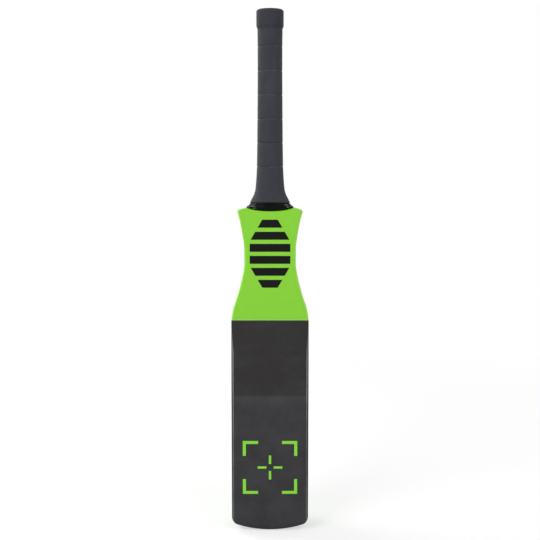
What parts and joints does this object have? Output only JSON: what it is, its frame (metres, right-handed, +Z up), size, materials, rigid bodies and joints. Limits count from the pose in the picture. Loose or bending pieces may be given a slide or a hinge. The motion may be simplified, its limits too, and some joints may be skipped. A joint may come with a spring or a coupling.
{
  "type": "cricket fielding bat",
  "caption": "Short coaching bat with a waisted wooden blade, a thick ramped foam pad on its face, a spined back and a ringed rubber grip.",
  "frame": {"origin": "bottom centre of the bounding box, level with the lowest point of the toe", "axes": "+Z up the handle, -Y the way the padded face looks, +X to the right of someone who looks at the padded face"},
  "size_m": [0.108, 0.0866, 0.7124],
  "materials": {
    "blade_paint": "gloss green paint on wood",
    "neck_band": "gloss black",
    "grip_rubber": "matt, fine diamond texture",
    "collar_rubber": "matt, fine diamond texture",
    "twine": "waxed thread",
    "pad_foam": "matt closed-cell foam",
    "pad_adhesive": "bonding sheet",
    "cane": "bare cane",
    "spring_rubber": "bare rubber strip"
  },
  "bodies": {
    "root": {"blade": "blade_paint", "shoulder_band": "neck_band", "grip_sleeve": "grip_rubber", "grip_collar": "collar_rubber", "twine_binding": "twine", "pad_foam": "pad_foam", "pad_adhesive": "pad_adhesive", "cane_core": "cane", "cane_face": "cane", "cane_back": "cane", "spring_face": "spring_rubber", "spring_back": "spring_rubber"}
  },
  "joints": []
}
